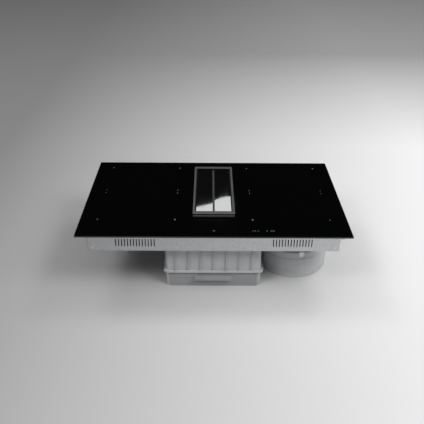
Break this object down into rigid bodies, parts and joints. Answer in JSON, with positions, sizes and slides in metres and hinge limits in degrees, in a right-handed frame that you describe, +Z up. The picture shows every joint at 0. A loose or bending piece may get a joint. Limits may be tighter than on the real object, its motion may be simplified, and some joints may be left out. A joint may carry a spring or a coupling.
{
  "type": "downdraft induction cooktop",
  "caption": "Built-in induction cooktop with a central downdraft vent under two mirror flaps, and its suction box, fan and flat duct outlet below.",
  "frame": {"origin": "centre of the underside of the glass gasket, on the plane of the worktop", "axes": "+X to the right, +Y to the rear, +Z up; everything below z = 0 hangs in the worktop cut-out"},
  "size_m": [0.84, 0.52, 0.222],
  "materials": {
    "black_glass": "polished black ceramic glass, opaque from above",
    "seal_rubber": "matt black foam seal",
    "vent_steel": "dark brushed stainless steel",
    "vent_frame_plastic": "matt black heat-resistant plastic",
    "mirror_steel": "mirror-polished stainless steel",
    "shaft_steel": "ground steel",
    "bush_bronze": "sintered bronze",
    "gear_plastic": "natural acetal",
    "motor_case": "dark grey coated steel",
    "duct_plastic": "light grey moulded plastic",
    "tank_plastic": "mid grey moulded plastic",
    "filter_metal": "pressed aluminium",
    "wheel_plastic": "glass-filled black plastic",
    "zinc_sheet": "galvanised sheet steel",
    "aluminium_sheet": "rolled aluminium sheet",
    "coil_wire": "enamelled wire, amber",
    "former_plastic": "glass-filled plastic",
    "ferrite": "dark grey ferrite",
    "mica": "pressed mica sheet",
    "sensor_ceramic": "white ceramic",
    "circuit_board": "green solder resist",
    "heat_sink_metal": "extruded aluminium",
    "cooler_plastic": "black plastic",
    "terminal_plastic": "dark grey plastic",
    "gland_plastic": "grey polyamide",
    "screw_steel": "zinc-plated steel"
  },
  "bodies": {
    "cooktop": {"air_funnel": "duct_plastic", "cable_gland": "gland_plastic", "casing_screws": "screw_steel", "chassis_tray": "zinc_sheet", "clamp_screws": "screw_steel", "coil_formers": "former_plastic", "coil_front_left": "coil_wire", "coil_front_right": "coil_wire", "coil_plate_left": "aluminium_sheet", "coil_plate_right": "aluminium_sheet", "coil_rear_left": "coil_wire", "coil_rear_right": "coil_wire", "cooling_fan_housing_left": "cooler_plastic", "cooling_fan_housing_right": "cooler_plastic", "fan_casing": "duct_plastic", "fan_cover": "duct_plastic", "fan_hangers": "shaft_steel", "fan_motor": "motor_case", "ferrite_bars": "ferrite", "filter_baffles": "filter_metal", "filter_frame": "filter_metal", "filter_handle": "filter_metal", "flap_bushes": "bush_bronze", "flap_motor": "motor_case", "gear_cover": "vent_frame_plastic", "glass_gasket": "seal_rubber", "glass_top": "black_glass", "heat_sinks": "heat_sink_metal", "idler_pins": "shaft_steel", "inlet_ring": "wheel_plastic", "insulation_sheets": "mica", "intake_duct": "duct_plastic", "mounting_clamps": "zinc_sheet", "outlet_spigot": "duct_plastic", "power_board_left": "circuit_board", "power_board_right": "circuit_board", "suction_box_lower": "duct_plastic", "suction_box_upper": "duct_plastic", "temperature_sensors": "sensor_ceramic", "terminal_block": "terminal_plastic", "terminal_box": "terminal_plastic", "terminal_cover": "terminal_plastic", "touch_board": "circuit_board", "touch_carrier": "former_plastic", "vent_frame": "vent_frame_plastic", "vent_skirt": "vent_steel", "vent_trim": "vent_steel"},
    "right_flap": {"flap_right": "mirror_steel", "flap_shaft_right": "shaft_steel", "flap_pinion_right": "gear_plastic"},
    "left_flap": {"flap_left": "mirror_steel", "flap_shaft_left": "shaft_steel", "flap_pinion_left": "gear_plastic"},
    "right_idler": {"idler_gear_right": "gear_plastic"},
    "left_idler": {"idler_gear_left": "gear_plastic"},
    "motor_pinion": {"drive_pinion": "gear_plastic"},
    "fan_wheel": {"fan_impeller": "wheel_plastic"},
    "left_cooler": {"cooling_fan_rotor_left": "cooler_plastic"},
    "right_cooler": {"cooling_fan_rotor_right": "cooler_plastic"},
    "tank": {"spill_tank": "tank_plastic"}
  },
  "joints": [
    {"name": "flap_right_open", "type": "hinge", "parent": "cooktop", "child": "right_flap", "pos_m": [0.02962, 0.0325, 0.006], "axis": [0, 1, 0], "range_deg": [0, 75]},
    {"name": "flap_left_open", "type": "hinge", "parent": "cooktop", "child": "left_flap", "pos_m": [-0.02962, 0.0325, 0.006], "axis": [0, -1, 0], "range_deg": [0, 75]},
    {"name": "idler_right_turn", "type": "hinge", "parent": "cooktop", "child": "right_idler", "pos_m": [0.015, 0.193, -0.00907], "axis": [0, 1, 0], "range_deg": [-30, 0]},
    {"name": "idler_left_turn", "type": "hinge", "parent": "cooktop", "child": "left_idler", "pos_m": [-0.015, 0.193, -0.00907], "axis": [0, 1, 0], "range_deg": [0, 30]},
    {"name": "drive_pinion_turn", "type": "hinge", "parent": "cooktop", "child": "motor_pinion", "pos_m": [-0.03473, 0.193, -0.01625], "axis": [0, 1, 0], "range_deg": [-75, 0]},
    {"name": "extraction_fan_spin", "type": "hinge", "parent": "cooktop", "child": "fan_wheel", "pos_m": [0.2575, -0.058, -0.165], "axis": [0, 0, 1], "continuous": true},
    {"name": "cooling_fan_left_spin", "type": "hinge", "parent": "cooktop", "child": "left_cooler", "pos_m": [-0.335, 0.19, -0.042], "axis": [0, 0, 1], "continuous": true},
    {"name": "cooling_fan_right_spin", "type": "hinge", "parent": "cooktop", "child": "right_cooler", "pos_m": [0.335, 0.19, -0.042], "axis": [0, 0, 1], "continuous": true},
    {"name": "tank_slide", "type": "slide", "parent": "cooktop", "child": "tank", "axis": [0, -1, 0], "range_m": [0, 0.38]}
  ],
  "couplings": [
    {"joint": "flap_left_open", "follows": "flap_right_open", "ratio": 1},
    {"joint": "idler_right_turn", "follows": "flap_right_open", "ratio": -0.4},
    {"joint": "idler_left_turn", "follows": "flap_right_open", "ratio": 0.4},
    {"joint": "drive_pinion_turn", "follows": "flap_right_open", "ratio": -1}
  ]
}
